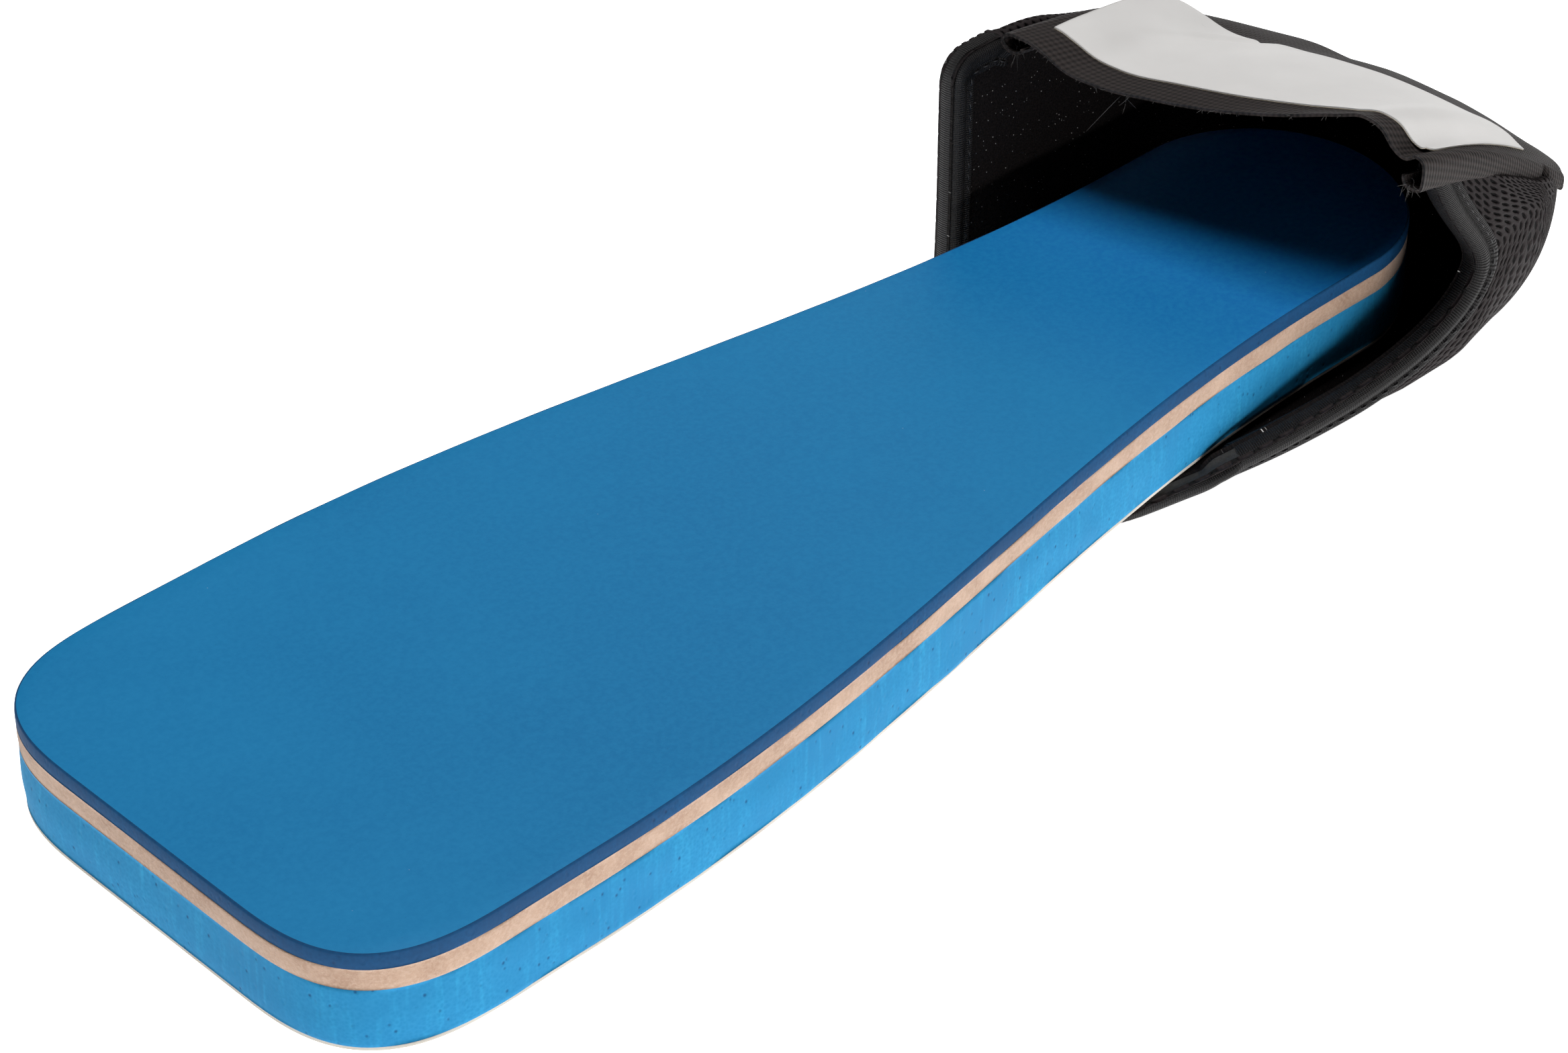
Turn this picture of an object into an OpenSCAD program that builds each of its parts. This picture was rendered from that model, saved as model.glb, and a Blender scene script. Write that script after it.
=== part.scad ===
// Laminated foam board, broad at one end and round at the other, with its round end
// lying in a soft open-mouthed cup. Millimetres, +Z up, +X along the board to the cup.
// The ground is z = 0 and the middle of the overall length and width is x = y = 0.

/* [Board] */
// Length of the board from the broad end to the round end
board_len = 296; // [240:1:330]
// Half the width of the board at its broad end
board_half = 51.2; // [40:0.1:60]
// Half the width of the board at its round end, also the radius of that end
heel_half = 28.3; // [22:0.1:36]
// Half the length of the straight edge across the broad end
toe_flat = 20; // [10:0.5:30]
// Length along the board taken up by each corner of the broad end
toe_corner = 33; // [15:0.5:45]
// Squareness of the corners of the broad end, 2 is an ellipse
toe_square = 3; // [2:0.1:4]
// Distance from the broad end to where the sides begin to narrow
taper_start = 50; // [35:1:80]
// Length over which the sides narrow
taper_len = 205; // [150:1:212]
// Thickness of the pale sheet under the board
bottom_t = 0.8; // [0.5:0.1:2]
// Thickness of the firm base foam
base_t = 11.9; // [6:0.1:20]
// Thickness of the soft tan middle layer
cushion_t = 4.2; // [2:0.1:8]
// Thickness of the smooth top sheet
top_t = 3.1; // [1.5:0.1:6]
// Slope of the board, broad end on the ground and round end on the cup floor, degrees
board_tilt = 1.45; // [0:0.05:3]

/* [Cup] */
// Overall length of the board and cup as they lie
total_len = 323; // [300:1:420]
// Half the width of the cup over its outer cloth
cup_half = 46; // [40:0.5:56]
// Radius of the upright corners at the back of the cup, in plan
cup_corner = 30; // [15:1:38]
// Radius of the rounding between the outer wall and the underside
foot_r = 11; // [6:0.5:14]
// Width of the wall's foot, from the outer face in to the floor seam
foot_w = 14; // [9:0.5:18]
// Thickness of the outer spacer mesh and of the floor cover
mesh_t = 1; // [0.6:0.1:2]
// Thickness of the padding
pad_t = 1.8; // [1:0.1:4]
// Thickness of the loop lining
lining_t = 0.9; // [0.6:0.1:2]
// Height on the back wall where it begins to lean in
lean_z = 12; // [8:1:30]
// Lean of the back wall, degrees
back_lean = 24; // [0:1:35]

/* [Mouth] */
// Where the mouth crosses the outer face of the right wall, along X
mouth_right = 34; // [20:1:60]
// Where the mouth crosses the outer face of the left wall, along X
mouth_left = 64; // [40:1:80]
// Farthest point back of the right wall's curved front edge, along X
notch_x = 114; // [90:1:120]
// Height of that farthest point
notch_z = 30; // [20:1:40]
// Where the right wall's front edge meets the lid, along X
notch_top_x = 97; // [90:1:110]
// Thickness of the binding tape
tape_t = 0.5; // [0.3:0.1:1]
// Width of each leaf of the binding tape
tape_w = 4.5; // [3:0.5:8]
// Distance of the stitch row from the folded edge of the tape
stitch_in = 3.4; // [2:0.1:4]
// Width and height of the stitch row
stitch_t = 0.4; // [0.3:0.1:0.8]

/* [Lid] */
// Reference position along X where the lid's height is given
lid_x = 84; // [80:1:110]
// Height of the lid on the centre line at that position
lid_z = 59.5; // [50:0.5:70]
// Slope of the lid down to the back, degrees
lid_slope = 20.5; // [0:0.5:30]
// Tilt of the lid about X, its right side up, degrees
lid_roll = 3; // [0:0.5:6]
// Height of the left wall's level part in front of the lid
wall_top = 56; // [45:0.5:65]
// Thickness of the lid cloth
lid_t = 1; // [0.6:0.1:2]
// Front corner of the lid on the left, along X
lid_left_x = 74; // [66:1:90]
// Front corner of the lid on the right, along X
lid_right_x = 94; // [80:1:110]
// Rise of the hump in the lid
hump_h = 7.5; // [0:0.5:9]
// Position of the hump across the lid
hump_y = -28; // [-29:1:-15]
// Half the width of the hump
hump_w = 14; // [10:1:24]
// Depth of the valley in the lid
dip_h = 5; // [0:0.5:7]
// Position of the valley across the lid
dip_y = 17; // [8:1:18]
// Half the width of the valley
dip_w = 19; // [10:1:24]
// Radius of the rolled side hem, at the middle of the cloth
hem_r = 3.2; // [2:0.1:5]

/* [Label] */
// Front left corner of the blank label, along X
label_left_x = 83.5; // [80:0.5:95]
// Front right corner of the blank label, along X
label_right_x = 98; // [80:0.5:110]
// Left end of the label, along Y
label_left_y = 36; // [20:0.5:37]
// Right end of the label, along Y
label_right_y = -40; // [-41:0.5:-20]
// Width of the label along X
label_w = 35; // [15:0.5:38]
// Thickness of the adhesive film
film_t = 0.2; // [0.1:0.05:0.4]
// Thickness of the paper
paper_t = 0.3; // [0.1:0.05:0.6]

/* [Hidden] */
$fn = 96;
board_t = bottom_t + base_t + cushion_t + top_t;
board_x = -total_len / 2 + board_t * sin(board_tilt);
cup_back = total_len / 2;
corner_x = cup_back - cup_corner;
corner_y = cup_half - cup_corner;
cup_t = mesh_t + pad_t + lining_t;
tall = 90;
reach = 400;
hem_drop = 2 * hem_r + lid_t;
left_hem_y = cup_half - cup_t - lid_t / 2 - hem_r - 0.2;
right_hem_y = -(cup_half - lid_t / 2 - hem_r);
hem_turn = 200;
curve_steps = 24;
edge_steps = 64;
foot_steps = 10;

// ---- Board outline -------------------------------------------------------

// Half width of the board at distance s from the broad end, corner part
function corner_half(s) =
  toe_flat + (board_half - toe_flat)
  * pow(1 - pow(1 - s / toe_corner, toe_square), 1 / toe_square);

// Half width of the board in the narrowing part
function taper_half(s) =
  heel_half + (board_half - heel_half) * (1 + cos(180 * (s - taper_start) / taper_len)) / 2;

// Points down one side of the board, from the broad end to the tip of the round end
function side_points() = concat(
  [for (k = [0:curve_steps])
    let (s = toe_corner * pow(k / curve_steps, 2)) [s, corner_half(s)]],
  [for (k = [0:edge_steps])
    let (s = taper_start + taper_len * k / edge_steps) [s, taper_half(s)]],
  [for (k = [0:curve_steps])
    let (a = 90 * k / curve_steps)
      [board_len - heel_half + heel_half * sin(a), heel_half * cos(a)]]
);

module board_outline() {
  side = side_points();
  last = len(side) - 2;
  polygon(concat(side, [for (k = [last:-1:0]) [side[k][0], -side[k][1]]]));
}

// One layer of the board, from height z0 above the board's underside
module board_layer(z0, t) {
  translate([board_x, 0, 0])
    rotate([0, -board_tilt, 0])
      translate([0, 0, z0])
        linear_extrude(height = t)
          board_outline();
}

// ---- Cup body ------------------------------------------------------------

// Section of the cup from the corner axis out to the wall, drawn in by i
module cup_section(i) {
  r = foot_r - i;
  polygon(concat(
    [[0, tall], [0, i]],
    [for (k = [0:foot_steps])
      let (a = 90 * k / foot_steps)
        [cup_corner - foot_r + r * sin(a), foot_r - r * cos(a)]],
    [[cup_corner - i, tall]]
  ));
}

// Everything in front of the leaning back wall, drawn in by i
module back_lean_space(i) {
  translate([cup_back, 0, lean_z])
    rotate([0, -back_lean, 0])
      translate([-reach - i, -reach / 2, -reach / 2])
        cube([reach, reach, reach]);
}

// The cup as if it were a solid block, drawn in by i on every face
module cup_block(i) {
  intersection() {
    union() {
      for (side = [-1, 1])
        translate([corner_x, side * corner_y, 0])
          rotate_extrude()
            cup_section(i);
      translate([0, corner_y, 0])
        rotate([90, 0, 90])
          linear_extrude(height = corner_x)
            cup_section(i);
      translate([0, -corner_y, 0])
        mirror([0, 1, 0])
          rotate([90, 0, 90])
            linear_extrude(height = corner_x)
              cup_section(i);
      translate([corner_x, corner_y, 0])
        rotate([90, 0, 0])
          linear_extrude(height = 2 * corner_y)
            cup_section(i);
      translate([0, -corner_y, i])
        cube([corner_x, 2 * corner_y, tall - i]);
    }
    back_lean_space(i);
  }
}

// Plan of the floor panel inside the wall's foot
module floor_plan() {
  r = cup_corner - foot_w;
  translate([0, -cup_half + foot_w])
    square([corner_x, 2 * (cup_half - foot_w)]);
  translate([corner_x - 1, -corner_y])
    square([r + 1, 2 * corner_y]);
  for (side = [-1, 1])
    translate([corner_x, side * corner_y])
      circle(r = r);
}

// Upright block over the floor panel, reaching a little above the lining
module floor_space() {
  translate([0, 0, -1])
    linear_extrude(height = cup_t + 3)
      floor_plan();
}

// ---- Mouth ---------------------------------------------------------------

// Point t along a cubic curve with ends a, d and handles b, c
function bezier(a, b, c, d, t) =
  pow(1 - t, 3) * a + 3 * t * pow(1 - t, 2) * b + 3 * t * t * (1 - t) * c + pow(t, 3) * d;

function lower_edge(t) =
  bezier([mouth_right, -1], [mouth_right + 36, 7], [notch_x - 2, notch_z - 17], [notch_x, notch_z], t);

function upper_edge(t) =
  bezier([notch_x, notch_z], [notch_x - 1, notch_z + 6], [notch_top_x + 8, notch_z + 10],
         [notch_top_x, notch_z + 30], t);

// The right wall's front edge, from the floor to above the lid
function front_edge() = concat(
  [for (k = [0:curve_steps]) lower_edge(k / curve_steps)],
  [for (k = [1:curve_steps]) upper_edge(k / curve_steps)],
  [[notch_top_x, tall]]
);

// Points of a path moved sideways by e, to its right
function moved(path, e) = [
  for (k = [0:len(path) - 1])
    let (
      a = path[max(k - 1, 0)],
      b = path[min(k + 1, len(path) - 1)],
      d = (b - a) / norm(b - a)
    )
    path[k] + e * [d[1], -d[0]]
];

// Everything behind the mouth's edge moved back by e
module behind_mouth(e) {
  slant = (mouth_left - mouth_right) / (2 * cup_half);
  shift = e * sqrt(1 + slant * slant);
  edge = moved(front_edge(), e);
  intersection() {
    translate([0, 0, -10])
      linear_extrude(height = tall + 20)
        polygon([
          [mouth_right + shift - slant * 14, -cup_half - 14],
          [reach, -cup_half - 14],
          [reach, cup_half + 14],
          [mouth_left + shift + slant * 14, cup_half + 14]
        ]);
    union() {
      translate([-reach / 2, -cup_half + foot_w, -10])
        cube([2 * reach, 2 * cup_half, tall + 20]);
      translate([0, -cup_half + foot_w, 0])
        rotate([90, 0, 0])
          linear_extrude(height = foot_w + 14)
            polygon(concat(
              [[edge[0][0], -10]],
              edge,
              [[reach, tall], [reach, -10]]
            ));
    }
  }
}

// ---- Lid sheet -----------------------------------------------------------

// A smooth bump of unit height at 0, flat beyond half width w
function bump(u, w) = abs(u) < w ? (1 + cos(180 * u / w)) / 2 : 0;

// Height of the lid's upper face above its plane, at y
function wave(y) = hump_h * bump(y - hump_y, hump_w) - dip_h * bump(y - dip_y, dip_w);

// Middle of the lid cloth between the two hems, from y0 to y1
function lid_middle(y0, y1) = [
  for (k = [0:edge_steps])
    let (y = y0 + (y1 - y0) * k / edge_steps)
      [y, wave(y) - lid_t / 2]
];

// Middle of the lid cloth with its hems, from inside the left hem to inside the right hem
function lid_path() = concat(
  [for (k = [0:curve_steps - 1])
    let (a = 90 - hem_turn + hem_turn * k / curve_steps)
      [left_hem_y + hem_r * cos(a), -lid_t / 2 - hem_r + hem_r * sin(a)]],
  lid_middle(left_hem_y, right_hem_y),
  [for (k = [1:curve_steps])
    let (a = 90 + hem_turn * k / curve_steps)
      [right_hem_y + hem_r * cos(a), -lid_t / 2 - hem_r + hem_r * sin(a)]]
);

// Section of a sheet following a path, from height n0 to n1 above it
module sheet_section(path, n0, n1) {
  top = moved(path, n1);
  low = moved(path, n0);
  polygon(concat(top, [for (k = [len(low) - 1:-1:0]) low[k]]));
}

// Runs a shape drawn across the lid from front to back, down the lid's slope
module along_lid() {
  translate([lid_x, 0, lid_z])
    rotate([-lid_roll, lid_slope, 0])
      translate([-reach / 4, 0, 0])
        rotate([90, 0, 90])
          linear_extrude(height = reach / 2)
            children();
}

// Everything the walls may fill, up to the left wall's top or the lid's underside, raised by e
module under_lid(e) {
  y_out = cup_half + 14;
  y_wall = cup_half - cup_t - 0.1 - e;
  y_left = left_hem_y - hem_r - lid_t / 2 - 0.1;
  y_right = right_hem_y + hem_r + lid_t / 2 + 0.1;
  intersection() {
    along_lid()
      polygon(concat(
        [
          [-y_out, -tall],
          [y_out, -tall],
          [y_out, e],
          [y_wall, e],
          [y_wall, -hem_drop],
          [y_left, -hem_drop]
        ],
        [for (k = [0:edge_steps])
          let (y = y_left + (y_right - y_left) * k / edge_steps) [y, wave(y) - lid_t]],
        [
          [y_right, -hem_drop],
          [-y_out, -hem_drop]
        ]
      ));
    translate([0, -y_out, -10])
      cube([reach, 2 * y_out, wall_top + e + 10]);
  }
}

// ---- Cup layers ----------------------------------------------------------

// The strip of the mouth covered by the tape
module tape_zone() {
  difference() {
    behind_mouth(-tape_t);
    behind_mouth(tape_w);
  }
  // Along the top edge of the left wall, from the mouth to the lid
  intersection() {
    behind_mouth(0);
    translate([mouth_right, cup_half - foot_w, wall_top - tape_w])
      cube([lid_left_x - 0.5 - mouth_right, 2 * foot_w, tall]);
  }
}

// Room for the lower leaf of the tape, let into the underside
module tape_groove() {
  intersection() {
    tape_zone();
    translate([0, -cup_half, -1])
      cube([2 * cup_back, 2 * cup_half, 1 + tape_t]);
  }
}

// Layer of the cup between insets a and b, walls and floor in one
module cup_layer(a, b) {
  difference() {
    intersection() {
      cup_block(a);
      under_lid(0);
      behind_mouth(0);
    }
    cup_block(b);
    tape_groove();
  }
}

module wall_layer(a, b) {
  difference() {
    cup_layer(a, b);
    floor_space();
  }
}

module floor_layer(a, b) {
  intersection() {
    cup_layer(a, b);
    floor_space();
  }
}

// ---- Sub-parts -----------------------------------------------------------

module bottom_sheet() {
  color([0.82, 0.77, 0.68])
    board_layer(0, bottom_t);
}

module base_foam() {
  color([0.12, 0.45, 0.75])
    board_layer(bottom_t, base_t);
}

module cushion_layer() {
  color([0.8, 0.62, 0.52])
    board_layer(bottom_t + base_t, cushion_t);
}

module top_sheet() {
  color([0.06, 0.4, 0.62])
    board_layer(bottom_t + base_t + cushion_t, top_t);
}

module floor_cover() {
  color([0.1, 0.1, 0.1])
    floor_layer(0, mesh_t);
}

module floor_padding() {
  color([0.2, 0.2, 0.2])
    floor_layer(mesh_t, mesh_t + pad_t);
}

module floor_lining() {
  color([0.05, 0.05, 0.05])
    floor_layer(mesh_t + pad_t, cup_t);
}

module wall_mesh() {
  color([0.12, 0.11, 0.11])
    wall_layer(0, mesh_t);
}

module wall_padding() {
  color([0.2, 0.2, 0.2])
    wall_layer(mesh_t, mesh_t + pad_t);
}

module wall_lining() {
  color([0.05, 0.05, 0.05])
    wall_layer(mesh_t + pad_t, cup_t);
}

module mouth_binding() {
  color([0.16, 0.16, 0.17])
    difference() {
      intersection() {
        cup_block(-tape_t);
        tape_zone();
        under_lid(tape_t);
        translate([0, -reach / 2, 0])
          cube([reach, reach, tall]);
      }
      cup_block(cup_t + tape_t);
      cup_layer(0, cup_t);
    }
}

// Row of stitches standing on the outer leaf of the tape, on the side picked by y0
module stitch_row(y0) {
  intersection() {
    difference() {
      cup_block(-tape_t - stitch_t);
      cup_block(-tape_t);
    }
    difference() {
      behind_mouth(stitch_in);
      behind_mouth(stitch_in + stitch_t);
    }
    under_lid(-1);
    translate([0, y0, foot_r])
      cube([reach, cup_half + 5, tall]);
  }
}

module left_stitching() {
  color([0.25, 0.25, 0.26])
    stitch_row(0);
}

module right_stitching() {
  color([0.25, 0.25, 0.26])
    stitch_row(-cup_half - 5);
}

module lid_fabric() {
  color([0.27, 0.26, 0.25])
    intersection() {
      cup_block(0);
      along_lid()
        sheet_section(lid_path(), -lid_t / 2, lid_t / 2);
      linear_extrude(height = tall)
        polygon([
          [lid_right_x, -cup_half - 1],
          [reach, -cup_half - 1],
          [reach, cup_half + 1],
          [lid_left_x, cup_half + 1]
        ]);
    }
}

// A slanting strip lying on the lid, between heights n0 and n1 above it
module label_sheet(n0, n1) {
  intersection() {
    along_lid()
      sheet_section(lid_middle(left_hem_y, right_hem_y), lid_t / 2 + n0, lid_t / 2 + n1);
    linear_extrude(height = tall)
      polygon([
        [label_right_x, label_right_y],
        [label_right_x + label_w, label_right_y],
        [label_left_x + label_w, label_left_y],
        [label_left_x, label_left_y]
      ]);
  }
}

module label_adhesive() {
  color([0.75, 0.7, 0.6])
    label_sheet(0, film_t);
}

module label_paper() {
  color([0.85, 0.85, 0.85])
    label_sheet(film_t, film_t + paper_t);
}

bottom_sheet();
base_foam();
cushion_layer();
top_sheet();
floor_cover();
floor_padding();
floor_lining();
wall_mesh();
wall_padding();
wall_lining();
mouth_binding();
left_stitching();
right_stitching();
lid_fabric();
label_adhesive();
label_paper();
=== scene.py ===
"""A laminated foam board whose round end lies in a padded fabric cup.

Shapes are worked out in millimetres and made in metres. +X runs along the board from its broad end
to the cup, +Z is up and the ground is z = 0. Left is +Y and right is -Y.
"""
import math
import random

import bpy
import numpy as np
from mathutils import Matrix, Vector


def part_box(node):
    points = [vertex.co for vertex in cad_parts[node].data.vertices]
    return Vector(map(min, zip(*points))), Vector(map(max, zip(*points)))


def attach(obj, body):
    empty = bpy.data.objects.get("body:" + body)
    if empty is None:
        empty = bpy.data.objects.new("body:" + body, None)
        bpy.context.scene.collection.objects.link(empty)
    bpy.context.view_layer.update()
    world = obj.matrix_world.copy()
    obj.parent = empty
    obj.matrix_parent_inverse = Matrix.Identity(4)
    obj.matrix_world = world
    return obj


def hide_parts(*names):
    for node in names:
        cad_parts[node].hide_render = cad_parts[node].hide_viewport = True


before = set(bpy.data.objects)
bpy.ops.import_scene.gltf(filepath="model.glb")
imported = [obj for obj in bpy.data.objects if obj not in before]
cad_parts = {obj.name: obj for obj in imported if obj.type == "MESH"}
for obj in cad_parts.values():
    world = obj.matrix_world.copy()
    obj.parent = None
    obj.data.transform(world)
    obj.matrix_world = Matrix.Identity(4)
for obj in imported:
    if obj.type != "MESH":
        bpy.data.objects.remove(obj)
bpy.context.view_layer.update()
MM = 0.001

# ---- Camera ----

CAMERA_AT = Vector((-452.27, -431.96, 446.69))
CAMERA_RIGHT = Vector((0.716685, -0.697199, 0.016641))
CAMERA_UP = Vector((0.394854, 0.425327, 0.814363))
CAMERA_LENS = 96.97


def new_object(name, data):
    made = bpy.data.objects.new(name, data)
    bpy.context.scene.collection.objects.link(made)
    return made


def make_camera():
    data = bpy.data.cameras.new("camera")
    data.lens = CAMERA_LENS
    data.sensor_width = 36
    data.clip_start = 0.01
    data.clip_end = 20
    camera = new_object("camera", data)
    back = CAMERA_RIGHT.cross(CAMERA_UP)
    turn = Matrix((CAMERA_RIGHT, CAMERA_UP, back)).transposed()
    camera.matrix_world = Matrix.Translation(CAMERA_AT * MM) @ turn.to_4x4()
    bpy.context.scene.camera = camera


make_camera()

# ---- Mesh helpers ----


def grid_faces(rows, cols, first=0, flip=False, wrap=False):
    """Quads between the points of a grid stored row by row; wrap joins the last column to the first."""
    index = first + np.arange(rows * cols).reshape(rows, cols)
    if wrap:
        index = np.hstack([index, index[:, :1]])
    quads = np.stack([index[:-1, :-1], index[:-1, 1:], index[1:, 1:], index[1:, :-1]], -1).reshape(-1, 4)
    return quads[:, ::-1] if flip else quads


def rim_faces(rows, cols, gap):
    """Quads that join the border of a grid to the border of its twin, gap points later."""
    index = np.arange(rows * cols).reshape(rows, cols)
    loop = np.concatenate([index[0, :-1], index[:-1, -1], index[-1, :0:-1], index[:0:-1, 0]])
    after = np.roll(loop, -1)
    return np.stack([after, after + gap, loop + gap, loop], -1)


def make_piece(name, points, faces, uv, materials, merge=0.0, slots=None):
    """A smooth mesh object from points in millimetres, with UVs in millimetres per point."""
    mesh = bpy.data.meshes.new(name)
    points = np.asarray(points, float).reshape(-1, 3)
    faces = faces.tolist() if isinstance(faces, np.ndarray) else [list(map(int, f)) for f in faces]
    mesh.from_pydata((points * MM).tolist(), [], faces)
    if slots is not None:
        mesh.polygons.foreach_set("material_index", np.asarray(slots, np.int32))
    mesh.polygons.foreach_set("use_smooth", [True] * len(mesh.polygons))
    if uv is not None:
        layer = mesh.uv_layers.new(name="cloth")
        corner = np.zeros(len(mesh.loops), np.int32)
        mesh.loops.foreach_get("vertex_index", corner)
        layer.data.foreach_set("uv", np.asarray(uv, float).reshape(-1, 2)[corner].ravel())
    for material in materials:
        mesh.materials.append(material)
    mesh.validate()
    mesh.update()
    piece = new_object(name, mesh)
    if merge:
        weld = piece.modifiers.new("weld", "WELD")
        weld.merge_threshold = merge * MM
    return piece


def shell(name, outer, inner, uv, materials):
    """A closed sheet between two matching grids; its normals point out of the outer one."""
    rows, cols = outer.shape[:2]
    count = rows * cols
    faces = np.vstack([
        grid_faces(rows, cols),
        grid_faces(rows, cols, first=count, flip=True),
        rim_faces(rows, cols, count),
    ])
    points = np.concatenate([outer.reshape(-1, 3), inner.reshape(-1, 3)])
    return make_piece(name, points, faces, np.concatenate([uv.reshape(-1, 2)] * 2), materials)


def stand_for(piece, body, node):
    """Puts a piece on a body, in place of a CAD node."""
    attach(piece, body)
    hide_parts(node)


def unit(vectors):
    return vectors / np.maximum(np.linalg.norm(vectors, axis=-1, keepdims=True), 1e-9)


def steps(points, axis=0):
    """Lengths of the steps between neighbouring points along one axis."""
    return np.linalg.norm(np.diff(points, axis=axis), axis=-1)


def added_up(lengths):
    """Distances from the start, from the lengths of the steps."""
    return np.concatenate([[0], np.cumsum(lengths)])


def distances(path):
    """Distance of each point of a path from its start."""
    return added_up(steps(path))


def normals(points):
    """Unit normals of a grid of points, turned so that the middle one points up."""
    out = unit(np.cross(np.gradient(points, axis=1), np.gradient(points, axis=0)))
    rows, cols = out.shape[:2]
    return -out if out[rows // 2, cols // 2, 2] < 0 else out


def smoothstep(low, high, value):
    t = np.clip((value - low) / (high - low), 0, 1)
    return t * t * (3 - 2 * t)


def bump(offset, width):
    """A smooth bump of unit height at 0 that ends at width on either side."""
    t = np.clip(np.abs(offset) / width, 0, 1)
    return (1 + np.cos(math.pi * t)) / 2


def ripple(seed, size, a, b):
    """Smooth random waves between about -1 and 1 over two coordinates."""
    chance = random.Random(seed)
    total = np.zeros_like(np.asarray(a, float) + b)
    for _ in range(7):
        heading = chance.uniform(0, math.tau)
        pitch = math.tau / (size * chance.uniform(1.4, 3.2))
        total += np.sin(pitch * (a * math.cos(heading) + b * math.sin(heading)) + chance.uniform(0, math.tau))
    return total / 3.5


def smooth_curve(points, values):
    """Heights of a soft curve through (place, height) points in rising order of place."""
    places, heights = np.array(points, float).T
    slope = np.gradient(heights, places)
    k = np.clip(np.searchsorted(places, values) - 1, 0, len(places) - 2)
    step = places[k + 1] - places[k]
    t = np.clip((values - places[k]) / step, 0, 1)
    return (
        heights[k] * (1 + 2 * t) * (1 - t) ** 2
        + slope[k] * step * t * (1 - t) ** 2
        + heights[k + 1] * t * t * (3 - 2 * t)
        + slope[k + 1] * step * t * t * (t - 1)
    )


# ---- Material helpers ----


class Shader:
    """A node material that is built up one call at a time."""

    def __init__(self, name):
        self.material = bpy.data.materials.new(name)
        self.material.use_nodes = True
        self.nodes = self.material.node_tree.nodes
        self.links = self.material.node_tree.links
        self.surface = self.nodes["Principled BSDF"]

    def put(self, kind, options=None, **inputs):
        """Adds a node; inputs are values or output sockets, by socket name or as i0, i1 and so on."""
        made = self.nodes.new("ShaderNode" + kind)
        for key, value in (options or {}).items():
            setattr(made, key, value)
        for key, value in inputs.items():
            numbered = key[0] == "i" and key[1:].isdigit()
            socket = made.inputs[int(key[1:])] if numbered else made.inputs[key.replace("_", " ")]
            self.join(value, socket)
        return made

    def join(self, value, socket):
        if isinstance(value, bpy.types.NodeSocket):
            self.links.new(value, socket)
        else:
            socket.default_value = value

    def math(self, operation, a, b=0.0, c=0.0):
        return self.put("Math", {"operation": operation}, i0=a, i1=b, i2=c).outputs[0]

    def parts(self, vector):
        return self.put("SeparateXYZ", None, Vector=vector).outputs

    def wave(self, value, pitch):
        return self.math("SINE", self.math("MULTIPLY", value, math.tau / pitch))

    def place(self):
        return self.put("TexCoord").outputs["Object"]

    def stretched(self, vector, scale):
        return self.put("Mapping", None, Vector=vector, Scale=scale).outputs[0]

    def cloth(self):
        """The cloth UVs, in millimetres along and across."""
        return self.put("UVMap", {"uv_map": "cloth"}).outputs[0]

    def noise(self, vector, scale, detail=3.0, roughness=0.55):
        made = self.put("TexNoise", None, Vector=vector, Scale=scale, Detail=detail, Roughness=roughness)
        return made.outputs["Fac"]

    def cells(self, vector, scale):
        """Distance and colour of the nearest cell of a random pattern."""
        made = self.put("TexVoronoi", {"feature": "F1"}, Vector=vector, Scale=scale)
        return made.outputs["Distance"], made.outputs["Color"]

    def ramp(self, value, *stops):
        """A colour ramp; stops are (position, colour) or (position, grey)."""
        made = self.put("ValToRGB", None, Fac=value)
        element = made.color_ramp.elements
        while len(element) < len(stops):
            element.new(0.5)
        for spot, (position, colour) in zip(element, stops):
            spot.position = position
            spot.color = (*colour, 1) if isinstance(colour, tuple) else (colour, colour, colour, 1)
        return made.outputs[0]

    def blend(self, factor, a, b, how="MIX"):
        made = self.put("Mix", {"data_type": "RGBA", "blend_type": how}, i0=factor)
        for value, socket in ((a, made.inputs[6]), (b, made.inputs[7])):
            self.join((*value, 1) if isinstance(value, tuple) else value, socket)
        return made.outputs[2]

    def range(self, value, low, high, to_low, to_high):
        limits = {"From_Min": low, "From_Max": high, "To_Min": to_low, "To_Max": to_high}
        return self.put("MapRange", None, Value=value, **limits).outputs[0]

    def lid_shade_ramp(self, place):
        """From 0 over the open board to 1 under the cup, along the board; it places the painted shade under
        the lid.
        """
        return self.range(self.parts(place)[0], 0.03, 0.13, 0.0, 1.0)

    def relief(self, height, depth, strength=1.0, under=None):
        """A bump of a depth in millimetres, over the bump under it."""
        inputs = {"Height": height, "Distance": depth * MM, "Strength": strength}
        if under is not None:
            inputs["Normal"] = under
        return self.put("Bump", None, **inputs).outputs[0]

    def finish(self, colour, roughness, normal, specular=0.5, **others):
        values = {"Base_Color": colour, "Roughness": roughness, "Normal": normal, **others}
        for key, value in values.items():
            self.join(value, self.surface.inputs[key.replace("_", " ")])
        self.join(specular, self.surface.inputs["Specular IOR Level"])
        return self.material


# ---- Materials ----

KNIT_ROW = 2.4
KNIT_PITCH = 2.2
SLIT_X = 6.5
SLIT_Y = 3.2
SLIT_LEAN = 0.3
TAPE_RIB_PITCH = 0.48
TAPE_YARN_PITCH = 0.34
WEAVE_PITCH = 1.7


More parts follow.
